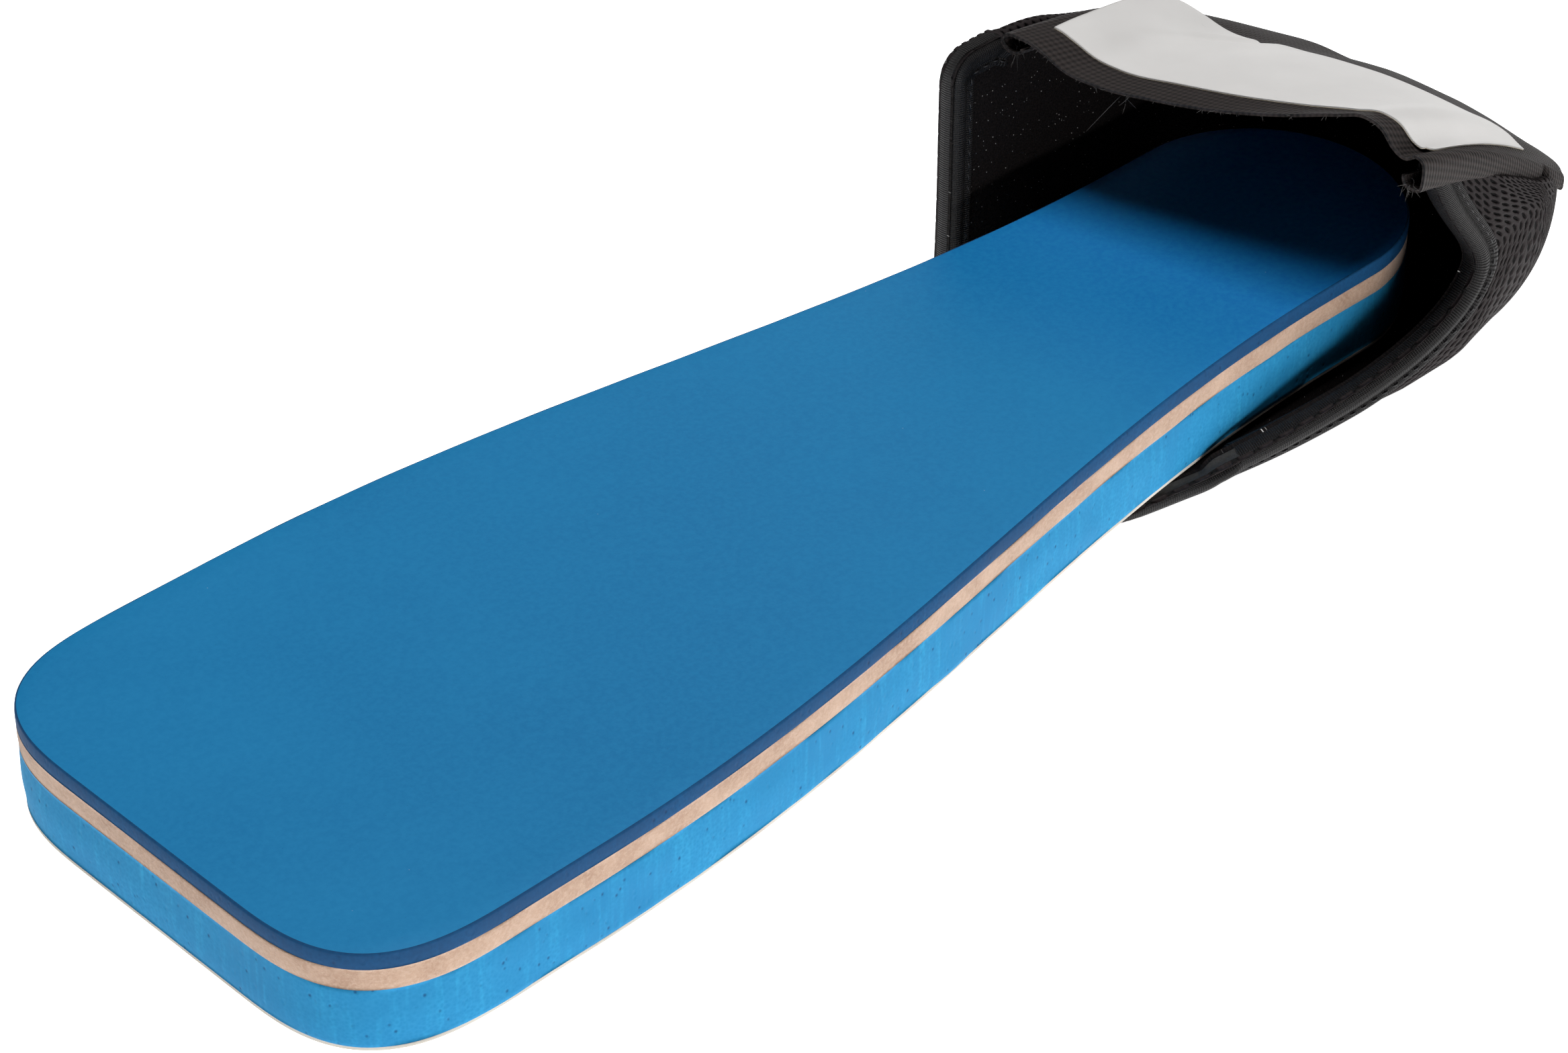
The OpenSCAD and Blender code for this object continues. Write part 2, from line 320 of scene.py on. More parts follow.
def foam_skin():
    """Smooth satin skin of the blue top sheet, with faint scuffs, specks and dents, and painted shade that
    turns it a darker, deeper blue under the cup.
    """
    s = Shader("foam_skin")
    place = s.place()
    cloud = s.noise(place, 14, 4)
    mottle = s.noise(place, 900, 3, 0.6)
    base = s.ramp(cloud, (0.3, (0.002, 0.176, 0.42)), (0.7, (0.006, 0.212, 0.475)))
    # Painted shade: the blue darkens and deepens along the board towards the cup, where the lid shades it.
    base = s.blend(s.math("MULTIPLY", s.lid_shade_ramp(place), 0.8), base, (0.0005, 0.092, 0.45))
    fine = s.blend(s.range(mottle, 0.35, 0.65, 0.0, 0.3), base, (0.014, 0.265, 0.54))
    specks = s.cells(place, 420)[0]
    colour = s.blend(s.range(specks, 0.0, 0.045, 0.6, 0.0), fine, (0.002, 0.06, 0.16))
    dust = s.cells(s.stretched(place, (1.13, 0.97, 1.0)), 95)[0]
    colour = s.blend(s.range(dust, 0.0, 0.014, 0.7, 0.0), colour, (0.35, 0.5, 0.62))
    grain = s.relief(mottle, 0.03)
    dents = s.relief(s.noise(place, 60, 2), 0.12, 0.5, grain)
    return s.finish(colour, s.range(cloud, 0.3, 0.7, 0.5, 0.6), dents, specular=0.22)


def foam_cut(name, dark, light, pore, streak):
    """Cut edge of closed-cell foam: fine cells, open pores and upright saw streaks."""
    s = Shader(name)
    place = s.place()
    upright = s.stretched(place, (1, 1, 0.07))
    streaks = s.noise(upright, 700, 2, 0.6)
    cloud = s.noise(place, 45, 3)
    cells = s.cells(place, 1500)[0]
    pores = s.cells(s.stretched(place, (1, 1, 0.8)), 520)[0]
    colour = s.ramp(cloud, (0.3, dark), (0.7, light))
    colour = s.blend(s.range(streaks, 0.5, 0.75, 0.0, streak), colour, light, "SCREEN")
    colour = s.blend(s.range(cells, 0.0, 0.9, 0.8, 0.0), colour, dark)
    hole = s.range(pores, 0.05, 0.2, 1.0, 0.0)
    sparse = s.range(s.noise(place, 330, 1), 0.47, 0.56, 0.0, 0.85)
    colour = s.blend(s.math("MULTIPLY", hole, sparse), colour, pore)
    cut = s.relief(streaks, 0.12, 0.6)
    pitted = s.relief(s.range(pores, 0.0, 0.3, 0.0, 1.0), 0.12, 0.8, cut)
    return s.finish(colour, s.range(cloud, 0.3, 0.7, 0.7, 0.85), pitted, specular=0.25)


def tan_fibre():
    """Fuzzy cut edge of the tan cushion layer."""
    s = Shader("tan_fibre")
    place = s.place()
    fuzz = s.noise(place, 1300, 4, 0.7)
    patch = s.noise(place, 120, 3)
    colour = s.ramp(patch, (0.3, (0.43, 0.27, 0.185)), (0.7, (0.60, 0.41, 0.30)))
    colour = s.blend(s.range(fuzz, 0.42, 0.7, 0.0, 0.45), colour, (0.74, 0.56, 0.44))
    rough = s.relief(fuzz, 0.25)
    return s.finish(colour, 0.9, rough, specular=0.15, Sheen_Weight=0.3, Sheen_Roughness=0.5)


def pale_skin():
    """Thin pale backing sheet under the board."""
    s = Shader("pale_skin")
    place = s.place()
    grain = s.noise(place, 800, 3)
    colour = s.ramp(s.noise(place, 60, 3), (0.3, (0.55, 0.50, 0.43)), (0.7, (0.70, 0.65, 0.57)))
    return s.finish(colour, s.range(grain, 0.3, 0.7, 0.6, 0.8), s.relief(grain, 0.05))


def knit_mesh():
    """Knitted spacer mesh: rows of raised slanted bars with holes between them, painted near-black as shade.
    """
    s = Shader("knit_mesh")
    uv = s.cloth()
    along, across, _ = s.parts(uv)
    row = s.math("DIVIDE", across, KNIT_ROW)
    shift = s.math("MULTIPLY", s.math("MODULO", s.math("FLOOR", row), 2.0), 0.5)
    cell_y = s.math("FRACT", row)
    lean = s.math("MULTIPLY_ADD", cell_y, SLIT_LEAN, -SLIT_LEAN / 2)
    column = s.math("ADD", s.math("DIVIDE", along, KNIT_PITCH), shift)
    cell_x = s.math("FRACT", s.math("SUBTRACT", column, lean))
    off_x = s.math("MULTIPLY_ADD", cell_x, SLIT_X, -SLIT_X / 2)
    off_y = s.math("MULTIPLY_ADD", cell_y, SLIT_Y, -SLIT_Y / 2)
    reach = s.math("MULTIPLY_ADD", off_x, off_x, s.math("MULTIPLY", off_y, off_y))
    yarn = s.range(reach, 0.6, 2.1, 0.0, 1.0)
    strand = s.noise(s.stretched(uv, (3.2, 0.9, 1.0)), 1.6, 3, 0.6)
    height = s.math("MULTIPLY_ADD", strand, 0.35, yarn)
    thread = s.ramp(strand, (0.3, (0.006, 0.0040, 0.0042)), (0.75, (0.022, 0.0152, 0.0160)))
    # Painted shade: the holes between the strands are near-black, darker than the black pad behind them.
    colour = s.blend(yarn, (0.0004, 0.0003, 0.0003), thread)
    return s.finish(colour, 0.65, s.relief(height, 0.22), specular=0.18)


def loop_pile():
    """Black loop pile lining with small glints."""
    s = Shader("loop_pile")
    uv = s.cloth()
    loops = s.cells(uv, 1.5)[0]
    curl = s.noise(uv, 2.3, 4, 0.7)
    height = s.math("SUBTRACT", curl, loops)
    colour = s.ramp(curl, (0.4, (0.0012, 0.0008, 0.0008)), (0.7, (0.018, 0.0125, 0.0120)))
    to_glint, chance = s.cells(uv, 1.3)
    near = s.range(to_glint, 0.09, 0.18, 1.0, 0.0)
    rare = s.range(s.parts(chance)[0], 0.80, 0.9, 0.0, 1.0)
    colour = s.blend(s.math("MULTIPLY", near, rare), colour, (0.85, 0.83, 0.80))
    return s.finish(colour, 0.8, s.relief(height, 0.5), specular=0.15)


def ribbed_tape():
    """Binding tape with fine ribs across it, and lighter random patches that are partly wear and partly a
    painted highlight.
    """
    s = Shader("ribbed_tape")
    uv = s.cloth()
    along, across, _ = s.parts(uv)
    rib = s.math("MULTIPLY_ADD", s.wave(across, TAPE_YARN_PITCH), 0.25, s.wave(along, TAPE_RIB_PITCH))
    wear_and_highlight = s.noise(uv, 0.35, 3)
    crest = s.range(rib, -1.0, 1.0, 0.0, 1.0)
    colour = s.ramp(crest, (0.1, (0.0018, 0.0015, 0.0016)), (0.85, (0.0105, 0.0086, 0.0088)))
    # Lighter random patches: partly wear, partly a painted highlight.
    colour = s.blend(s.range(wear_and_highlight, 0.45, 0.75, 0.0, 0.4), colour, (0.016, 0.0142, 0.0150))
    return s.finish(colour, s.range(wear_and_highlight, 0.3, 0.7, 0.45, 0.55), s.relief(rib, 0.12), specular=0.32)


def woven_cloth():
    """Dark grey basket-woven cloth of the lid."""
    s = Shader("woven_cloth")
    uv = s.cloth()
    turned = s.put("Mapping", None, Vector=uv, Rotation=(0, 0, math.radians(38))).outputs[0]
    x, y, _ = s.parts(turned)
    weave = s.math("MULTIPLY", s.wave(x, WEAVE_PITCH), s.wave(y, WEAVE_PITCH))
    fibre = s.noise(uv, 3.0, 3, 0.7)
    height = s.math("MULTIPLY_ADD", fibre, 0.5, weave)
    crest = s.range(weave, -1, 1, 0, 1)
    colour = s.ramp(crest, (0.1, (0.005, 0.0038, 0.0034)), (0.8, (0.034, 0.0265, 0.0250)))
    soft = s.noise(uv, 0.06, 3)
    colour = s.blend(s.range(soft, 0.4, 0.75, 0.0, 0.35), colour, (0.038, 0.0300, 0.0290))
    return s.finish(colour, 0.7, s.relief(height, 0.12), specular=0.2, Sheen_Weight=0.05,
                    Sheen_Roughness=0.4)


def label_paper_look():
    """Blank off-white paper with faint scuffs and a soft crease."""
    s = Shader("label_paper_look")
    uv = s.cloth()
    place = s.place()
    cloud = s.noise(place, 40, 3)
    colour = s.ramp(cloud, (0.3, (0.71, 0.695, 0.68)), (0.7, (0.78, 0.765, 0.75)))
    scratch = s.noise(s.stretched(uv, (0.05, 0.5, 1.0)), 1.0, 4, 0.8)
    colour = s.blend(s.range(scratch, 0.66, 0.74, 0.0, 0.35), colour, (0.45, 0.44, 0.42))
    fibres = s.noise(place, 1500, 3)
    rough = s.range(cloud, 0.3, 0.7, 0.45, 0.58)
    return s.finish(colour, rough, s.relief(fibres, 0.02), specular=0.4)


def plain_look(name, colour, roughness, scale=900, depth=0.05):
    """A finely grained finish in one colour, a little lighter and darker over the surface."""
    s = Shader(name)
    place = s.place()
    grain = s.noise(place, scale, 3, 0.6)
    dark = tuple(0.75 * c for c in colour)
    light = tuple(1.2 * c for c in colour)
    mixed = s.ramp(grain, (0.3, dark), (0.7, light))
    return s.finish(mixed, roughness, s.relief(grain, depth))


FOAM_SKIN = foam_skin()
TOP_EDGE = foam_cut("foam_top_edge", (0.003, 0.050, 0.145), (0.005, 0.085, 0.225), (0.002, 0.03, 0.09), 0.1)
BASE_EDGE = foam_cut("foam_base_edge", (0.008, 0.215, 0.46), (0.028, 0.30, 0.57), (0.001, 0.07, 0.20), 0.3)
TAN = tan_fibre()
PALE = pale_skin()
MESH_KNIT = knit_mesh()
PILE = loop_pile()
TAPE = ribbed_tape()
CLOTH = woven_cloth()
PAPER = label_paper_look()
FILM = plain_look("label_film_look", (0.62, 0.54, 0.40), 0.4)
FOAM_PAD = plain_look("black_foam", (0.02, 0.02, 0.02), 0.9, 1400, 0.15)
THREAD = plain_look("thread_look", (0.010, 0.009, 0.0105), 0.5, 2500, 0.04)
LINT = plain_look("lint_look", (0.05, 0.046, 0.044), 0.7, 2500, 0.02)

# ---- Board ----

BOARD_LEN = 296.0
BOARD_HALF = 51.2
HEEL_HALF = 28.3
TOE_FLAT = 20.0
TOE_CORNER = 33.0
TOE_SQUARE = 3.0
TAPER_START = 50.0
TAPER_LEN = 205.0
BOARD_TILT = math.radians(1.45)
BOTTOM_T = 0.8
LAYER_TOPS = (BOTTOM_T, 12.7, 16.9, 20.0)
BOARD_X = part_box("bottom_sheet")[0].x / MM + BOTTOM_T * math.sin(BOARD_TILT)
CAP_COLS = 25
BOARD_WELD = 0.002
RIM = 0.02


def board_stations():
    """Places along the board, close together where the outline turns."""
    corner = TOE_CORNER * np.linspace(0, 1, 44) ** 3
    middle = np.linspace(TOE_CORNER, BOARD_LEN - HEEL_HALF, 130)[1:]
    heel = BOARD_LEN - HEEL_HALF + HEEL_HALF * np.sin(np.linspace(0, math.pi / 2, 50)[1:])
    return np.concatenate([corner, middle, heel])


def half_width(s):
    turn = (1 - np.clip(1 - s / TOE_CORNER, 0, 1) ** TOE_SQUARE) ** (1 / TOE_SQUARE)
    corner = TOE_FLAT + (BOARD_HALF - TOE_FLAT) * turn
    along = np.clip((s - TAPER_START) / TAPER_LEN, 0, 1)
    taper = HEEL_HALF + (BOARD_HALF - HEEL_HALF) * (1 + np.cos(math.pi * along)) / 2
    past = np.clip(s - (BOARD_LEN - HEEL_HALF), 0, HEEL_HALF)
    heel = np.sqrt(HEEL_HALF ** 2 - past ** 2)
    return np.where(s < TOE_CORNER, corner, np.where(past > 0, heel, taper))


STATIONS = board_stations()
HALVES = half_width(STATIONS)


def board_place(points):
    """Board coordinates (along, across, up from its underside) to the frame."""
    s, y, z = np.moveaxis(np.asarray(points, float), -1, 0)
    x = BOARD_X + s * math.cos(BOARD_TILT) - z * math.sin(BOARD_TILT)
    return np.stack([x, y, s * math.sin(BOARD_TILT) + z * math.cos(BOARD_TILT)], -1)


def board_level(inset, z, wobble, seed):
    """The board's outline at one height, as a grid of stations by columns from right to left."""
    ds = np.gradient(STATIONS)
    dh = np.gradient(HALVES)
    length = np.hypot(ds, dh)
    sides = []
    for side in (-1, 1):
        push = inset - wobble * ripple(seed + side, 9.0, STATIONS, z * 2.0)
        s = STATIONS + push * dh / length
        y = side * np.maximum(HALVES - push * ds / length, 0)
        sides.append(np.stack([s, y, np.full_like(s, z)], -1)[:, None])
    t = np.linspace(0, 1, CAP_COLS)[:, None]
    return sides[0] * (1 - t) + sides[1] * t


def board_loop(grid):
    """The border of a level: front edge right to left, left side to the tip, right side back."""
    return np.concatenate([grid[0, :-1], grid[:-1, -1], grid[-1:, -1], grid[-2:0:-1, 0]])


def board_layer(name, node, levels, wobble, materials, seed):
    """One layer of the board; levels are (inset, height) from its lower face to its upper face."""
    ends = (levels[0][1], levels[-1][1])
    grids = [board_level(inset, z, 0.0 if z in ends else wobble, seed) for inset, z in levels]
    rows, cols = grids[0].shape[:2]
    loops = [board_loop(g) for g in grids]
    count = len(loops[0])
    points = [grids[0].reshape(-1, 3), grids[-1].reshape(-1, 3)] + loops
    low = grid_faces(rows, cols)
    high = grid_faces(rows, cols, first=rows * cols, flip=True)
    sides = grid_faces(len(loops), count, first=2 * rows * cols, wrap=True, flip=True)
    faces = np.vstack([low, high, sides])
    slots = [0] * (len(low) + len(high)) + [len(materials) - 1] * len(sides)
    piece = make_piece(name, board_place(np.concatenate(points)), faces, None, materials, BOARD_WELD, slots)
    stand_for(piece, "board", node)
    return piece


def rounded_levels(z0, z1, low_r, high_r, bulge, count):
    """(inset, height) levels of a side face with rounded rims, from its lower face up."""
    levels = [(low_r, z0)]
    turn = [math.radians(a) for a in (30, 60, 90)]
    if low_r:
        levels += [(low_r * (1 - math.sin(a)), z0 + low_r * (1 - math.cos(a))) for a in turn]
    else:
        levels.append((0.0, z0 + RIM))
    low = levels[-1][1]
    high = z1 - high_r
    for k in range(1, count):
        t = k / count
        levels.append((-bulge * math.sin(math.pi * t), low + (high - low) * t))
    if high_r:
        turn = [math.radians(a) for a in (0, 22, 45, 68, 90)]
        levels += [(high_r * (1 - math.cos(a)), z1 - high_r * (1 - math.sin(a))) for a in turn]
    else:
        levels += [(0.0, z1 - RIM), (0.0, z1)]
    return levels


def make_board():
    skin, base, cushion, top = LAYER_TOPS
    board_layer("sole_skin", "bottom_sheet", rounded_levels(0, skin, 0.2, 0, 0.0, 2), 0.03, [PALE], 3)
    foams = (
        ("sole_base", "base_foam", rounded_levels(skin, base, 0, 0, 0.25, 14), 0.14, [BASE_EDGE], 11),
        ("sole_cushion", "cushion_layer", rounded_levels(base, cushion, 0, 0, 0.1, 8), 0.12, [TAN], 23),
        ("sole_top", "top_sheet", rounded_levels(cushion, top, 0, 0.4, 0.1, 6), 0.06,
         [FOAM_SKIN, TOP_EDGE], 31),
    )
    for foam in foams:
        board_layer(*foam)


make_board()

# ---- Cup walls ----

CUP_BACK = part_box("wall_mesh")[1].x / MM
CUP_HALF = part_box("wall_mesh")[1].y / MM
CUP_CORNER = 30.0
FOOT_R = 11.0
FOOT_W = 14.0
FOOT_SLANT = 0.33
PUFF = 0.5
PUFF_SIZE = 26.0
CORNER_X = CUP_BACK - CUP_CORNER
CORNER_Y = CUP_HALF - CUP_CORNER
LEAN_Z = 12.0
LEAN_SOFT = 3.0
BACK_LEAN = math.radians(24)
MESH_T = 1.0
PAD_T = 1.8
LINING_T = 0.9
LAYER_GAP = 0.05
CUP_T = MESH_T + PAD_T + LINING_T
MOUTH_RIGHT = 31.0
ROLL_R = 1.8
TOP_CORNER_R = 5.5
# (x, height) of the deepest place of the right wall's front edge
NOTCH = (114.0, 30.0)
NOTCH_TOP_X = 97.0
# (x, height) of the left wall's top edge
LEFT_TOP = ((60, 56), (90, 56), (95, 54.4), (107, 51), (122, 46.3), (129, 44.6), (137, 41.5), (141, 39),
            (147, 34.5))
LEFT_START = 63.5
NARROW_FROM = 118.0
NARROW_RATE = 0.155
# (distance round the cup, width, height) of the foot's curve
FOOT_CURVE = ((-157, 9, 9), (-145, 10.5, 10.5), (-132, 11.5, 11.5), (-120, 12, 12), (-107, 12.5, 12.5),
              (-91, 14, 15), (-79, 16.5, 20), (-64, 20, 33), (-50, 22.5, 40), (-35, 22.5, 42), (-16, 21, 38),
              (0, 19, 32), (16, 16, 25), (63, 13, 13), (100, 11, 11))
SLIDE_ON = 6.0
BOARD_GAP = 0.35
PRESS_SLOPE = 3.0
PRESS_TO_X = 75.0
PRESS_TO_Z = 14.0
PROBE = 0.4
ARC = math.pi / 2
SIDE_RUN = CORNER_Y + CUP_CORNER * ARC
FOOT_V = FOOT_W - FOOT_R + FOOT_R * ARC


def plan(run):
    """Place and outward direction of the cup's outline, at a distance round it from its back."""
    side = np.where(run < 0, -1.0, 1.0)
    far = np.abs(run)
    angle = np.clip((far - CORNER_Y) / CUP_CORNER, 0, ARC)
    forward = np.maximum(far - SIDE_RUN, 0)
    x = CORNER_X + CUP_CORNER * np.cos(angle) - forward
    y = side * (np.minimum(far, CORNER_Y) + CUP_CORNER * np.sin(angle))
    tuck = np.where(side < 0, NARROW_RATE * np.maximum(NARROW_FROM - x, 0), 0)
    return x, y + tuck, np.cos(angle), side * np.sin(angle)


def run_of(x, side):
    """Distance round the outline to a place along one straight side."""
    return side * (SIDE_RUN + CORNER_X - x)


def foot_size(run):
    """Width and height of the foot's curve, which is fullest at the right back corner."""
    places, widths, heights = np.array(FOOT_CURVE).T
    return np.interp(run, places, widths), np.interp(run, places, heights)


def v_of(z, run):
    """Place up the wall's outer face, from the foot's inner edge, at a height."""
    z = np.asarray(z, float)
    _, tall = foot_size(run)
    curved = FOOT_W - FOOT_R + FOOT_R * np.arccos(np.clip(1 - z / tall, 0, 1))
    return np.where(z < tall, curved, FOOT_V + z - tall)


def leaned(x, z):
    """The x of a place on the outline at a height, as the back leans forward."""
    over = np.maximum(z - LEAN_Z, 0)
    soft = over * over / (over + LEAN_SOFT)
    return x - np.maximum(x - CORNER_X, 0) / CUP_CORNER * soft * math.tan(BACK_LEAN)


def wall_face(run, v):
    """Outer face of the wall: a rounded foot, upright sides and a back that leans forward."""
    x, y, nx, ny = plan(run)
    wide, tall = foot_size(run)
    turn = np.clip((v - FOOT_W + FOOT_R) / FOOT_R, 0, ARC)
    inset = np.where(v < FOOT_W - FOOT_R, wide + FOOT_W - FOOT_R - v, wide * (1 - np.sin(turn)))
    z = tall * (1 - np.cos(turn)) + np.maximum(v - FOOT_V, 0)
    puff = PUFF * ripple(5, PUFF_SIZE, run, v) * smoothstep(4, 22, v)
    return np.stack([leaned(x - (inset - puff) * nx, z), y - (inset - puff) * ny, z], -1)


def above_board(points):
    """How far points near the mouth stand above the board's underside, with the cup slid fully on."""
    x, y, z = np.moveaxis(points, -1, 0)
    s = (x - SLIDE_ON - BOARD_X) / math.cos(BOARD_TILT)
    beside = np.maximum(np.abs(y) - half_width(np.clip(s, 0, BOARD_LEN)) - BOARD_GAP, 0)
    limit = s * math.sin(BOARD_TILT) - BOARD_GAP + PRESS_SLOPE * beside
    near = (x < PRESS_TO_X) & (z < PRESS_TO_Z)
    return np.where(near, np.maximum(z - limit, 0), 0)


def wall_points(run, v, depth):
    """Points at a depth inside the wall's outer face, pressed flat where the board lies on them."""
    here = wall_face(run, v)
    around = wall_face(run + PROBE, v) - wall_face(run - PROBE, v)
    up = wall_face(run, v + PROBE) - wall_face(run, v - PROBE)
    out = unit(np.cross(around, up))
    points = here - depth * out
    points[..., 2] -= depth / CUP_T * above_board(here - CUP_T * out)
    return points, out


# ---- Lid surface ----

LID_LEFT_Y = 38.0
LID_RIGHT_Y = -43.6
LID_LEFT_X = 74.3
LID_RIGHT_X = 93.0
LEFT_HEM_R = 2.3
RIGHT_HEM_R = 3.7
LID_T = 0.6
# (y, height) of the lid's front edge, its back edge and the bow between them
LID_FRONT = ((-44, 62.0), (-42, 60.6), (-39.6, 61.8), (-37.2, 64.8), (-33.5, 66.4), (-28, 65),
             (-18, 61.6), (-5, 58.1), (8, 56.0), (21, 55.1), (27, 56.0), (31, 58.0), (34.5, 59.6), (38, 60.1))
LID_BACK = ((-44, 40.0), (-41, 38.4), (-38, 37.2), (-30, 35.2), (-8, 35.8), (8, 35.4), (17, 34.0),
            (26, 34.6), (38, 34.8))
LID_BOW = ((-44, 2.5), (-38, 4.2), (-30, 5), (-20, 6.2), (-10, 6.8), (0, 6.8), (10, 6.2), (22, 5), (30, 5.4),
           (38, 5.6))
PLEAT_AT = 0.86
PLEAT_WIDE = 0.09
TOP_GUESS = 45.0
TOP_PASSES = 4
LEFT_DROP = 0.8
MIDDLE_DROP = LID_T + 0.3
HEM_DROP = 1.65
PLEAT_RISE = 0.55
FRONT_Z = 59.5
BACK_Z = 35.0
FRONT_FADE = 0.8


def lid_front_x(y):
    return LID_LEFT_X + (LID_RIGHT_X - LID_LEFT_X) * (LID_LEFT_Y - y) / (LID_LEFT_Y - LID_RIGHT_Y)


def lid_back_x(y):
    lean = 1 - (BACK_Z - LEAN_Z - LEAN_SOFT) * math.tan(BACK_LEAN) / CUP_CORNER
    past = np.maximum(np.abs(y) - CORNER_Y, 0)
    return CORNER_X + np.sqrt(np.maximum(CUP_CORNER ** 2 - past ** 2, 0)) * lean


def lid_middle(x, y):
    """Height of the lid's upper face, from its front edge to the back of the cup."""
    front = lid_front_x(y)
    t = np.clip((x - front) / (lid_back_x(y) - front), 0, 1)
    fade = t ** FRONT_FADE
    level = FRONT_Z + (BACK_Z - FRONT_Z) * t
    front_wave = (1 - fade) * (smooth_curve(LID_FRONT, y) - FRONT_Z)
    back_wave = fade * (smooth_curve(LID_BACK, y) - BACK_Z)
    return level + front_wave + back_wave + smooth_curve(LID_BOW, y) * np.sin(math.pi * t)


def right_hem_r(t):
    """Radius of the right hem's roll, from the front to the back of the lid."""
    return RIGHT_HEM_R * (1 - 0.5 * t)


def wall_top(run):
    """Height of the wall's top edge round the cup."""
    x, y, _, _ = plan(run)
    front = lid_front_x(LID_RIGHT_Y)
    back = lid_back_x(LID_RIGHT_Y)
    to_left = smoothstep(22, 40, y)
    to_right = smoothstep(24, 42, -y)
    z = np.full_like(x, TOP_GUESS)
    for _ in range(TOP_PASSES):
        here = leaned(x, z)
        left = np.minimum(smooth_curve(LEFT_TOP, here), lid_middle(here, LID_LEFT_Y) - LEFT_DROP)
        middle = lid_middle(np.minimum(here, lid_back_x(y) - 0.1), np.clip(y, -43, 37.5)) - MIDDLE_DROP
        t = np.clip((here - front) / (back - front), 0, 1)
        tuck = HEM_DROP - PLEAT_RISE * bump(t - PLEAT_AT, PLEAT_WIDE)
        right = lid_middle(here, LID_RIGHT_Y) - tuck * right_hem_r(t)
        z = middle * (1 - to_left) * (1 - to_right) + left * to_left + right * to_right
    gap = x - LEFT_START
    r = TOP_CORNER_R
    corner = np.where((y > 0) & (gap < r), r - np.sqrt(np.maximum(r * r - (r - gap) ** 2, 0)), 0)
    return z - corner - ROLL_R * top_roll(run)


def top_roll(run):
    """How far the wall's top is rolled over: fully along the open left side, elsewhere not."""
    x, y, _, _ = plan(run)
    return smoothstep(30, 40, y) * smoothstep(76, 79, x) * (1 - smoothstep(114, 128, x))


def bezier(a, b, c, d, t):
    a, b, c, d = (np.array(p, float) for p in (a, b, c, d))
    t = np.asarray(t, float)[:, None]
    return (1 - t) ** 3 * a + 3 * t * (1 - t) ** 2 * b + 3 * t * t * (1 - t) * c + t ** 3 * d


def right_mouth(count):
    """The right wall's front edge as (run, v), from the floor up to the lid's hem."""
    low = bezier((MOUTH_RIGHT + 3, 1.2), (MOUTH_RIGHT + 36, 7), (NOTCH[0] - 2, NOTCH[1] - 17), NOTCH,
                 np.linspace(0, 1, 200))
    high = bezier(NOTCH, (NOTCH[0] - 1, NOTCH[1] + 6), (NOTCH_TOP_X + 8, NOTCH[1] + 10),
                  (NOTCH_TOP_X, NOTCH[1] + 30), np.linspace(0, 1, 120)[1:])
    edge = np.concatenate([low, high])
    run = run_of(edge[:, 0], -1)
    under = edge[:, 1] < wall_top(run)
    wall = np.stack([run[under], v_of(edge[under, 1], run[under])], -1)
    foot_v = np.linspace(0, wall[0, 1], 24)[:-1]
    foot = np.stack([wall[0, 0] + FOOT_SLANT * (wall[0, 1] - foot_v), foot_v], -1)
    return resample(np.concatenate([foot, wall]), count)


def left_mouth(count):
    """The left wall's front edge as (run, v), from the floor to its top corner."""
    end = run_of(LEFT_START, 1)
    top = float(v_of(wall_top(np.array([end]))[0], end))
    v = np.linspace(0, top, count)
    back = FOOT_SLANT / 2 * np.maximum(FOOT_V - v, 0)
    return np.stack([end + back, v], -1)


def points_at(places, along, points):
    """Points of a path at given distances; along holds those of its own points."""
    return np.stack([np.interp(places, along, column) for column in points.T], -1)


def resample(points, count):
    """The same path with evenly spaced points."""
    along = distances(points)
    return points_at(np.linspace(0, along[-1], count), along, points)


WALL_ROWS = 90
WALL_COLS = 330


def wall_grid(rows, cols):
    """Run and v of a grid that fills the wall between its two front edges, the floor and its top."""
    right = right_mouth(rows)
    left = left_mouth(rows)
    t = np.linspace(0, 1, cols)
    low_run = right[0, 0] + (left[0, 0] - right[0, 0]) * t
    top_run = right[-1, 0] + (left[-1, 0] - right[-1, 0]) * t
    low = np.stack([low_run, np.zeros_like(t)], -1)
    top = np.stack([top_run, v_of(wall_top(top_run), top_run)], -1)
    up = np.linspace(0, 1, rows)[:, None, None]
    t = t[None, :, None]
    coons = (
        (1 - up) * low[None] + up * top[None] + (1 - t) * right[:, None] + t * left[:, None]
        - (1 - up) * (1 - t) * right[0] - (1 - up) * t * left[0]
        - up * (1 - t) * right[-1] - up * t * left[-1]
    )
    return coons[..., 0], coons[..., 1]


RUN, UP = wall_grid(WALL_ROWS, WALL_COLS)
FINE_ROWS = 200
FINE_COLS = 860
ROLL_ROWS = 20
KNIT_DEPTH = 0.6


def wall_uv(face):
    """Distances along and up the wall's face, in millimetres, from its top front corner."""
    u = np.tile(added_up(steps(face, 1).mean(0)), (len(face), 1))
    v = np.concatenate([np.cumsum(steps(face)[::-1], axis=0)[::-1], np.zeros((1, face.shape[1]))])
    return np.stack([u, v], -1)


def rolled_top(run, up, deep):
    """Rows that carry the wall's outer face over its top edge, at a depth inside that face."""
    rows = []
    rise = top_roll(run)
    for a in np.linspace(0, math.pi, ROLL_ROWS)[1:]:
        depth = CUP_T / 2 - (CUP_T / 2 - deep) * math.cos(a)
        points, _ = wall_points(run, up, depth)
        points[:, 2] += (CUP_T / 2 - deep) * math.sin(a) * rise
        rows.append(points)
    return np.stack(rows)


def knit_slits(uv):
    """Depth of the slits between the mesh's strands, from 0 on a strand to 1 in a slit."""
    row = uv[..., 1] / KNIT_ROW
    cell_y = row % 1 - 0.5
    cell_x = (uv[..., 0] / KNIT_PITCH + 0.5 * (np.floor(row) % 2) - SLIT_LEAN * cell_y) % 1 - 0.5
    reach = (SLIT_X * cell_x) ** 2 + (SLIT_Y * cell_y) ** 2
    return 1 - smoothstep(0.3, 2.0, reach)


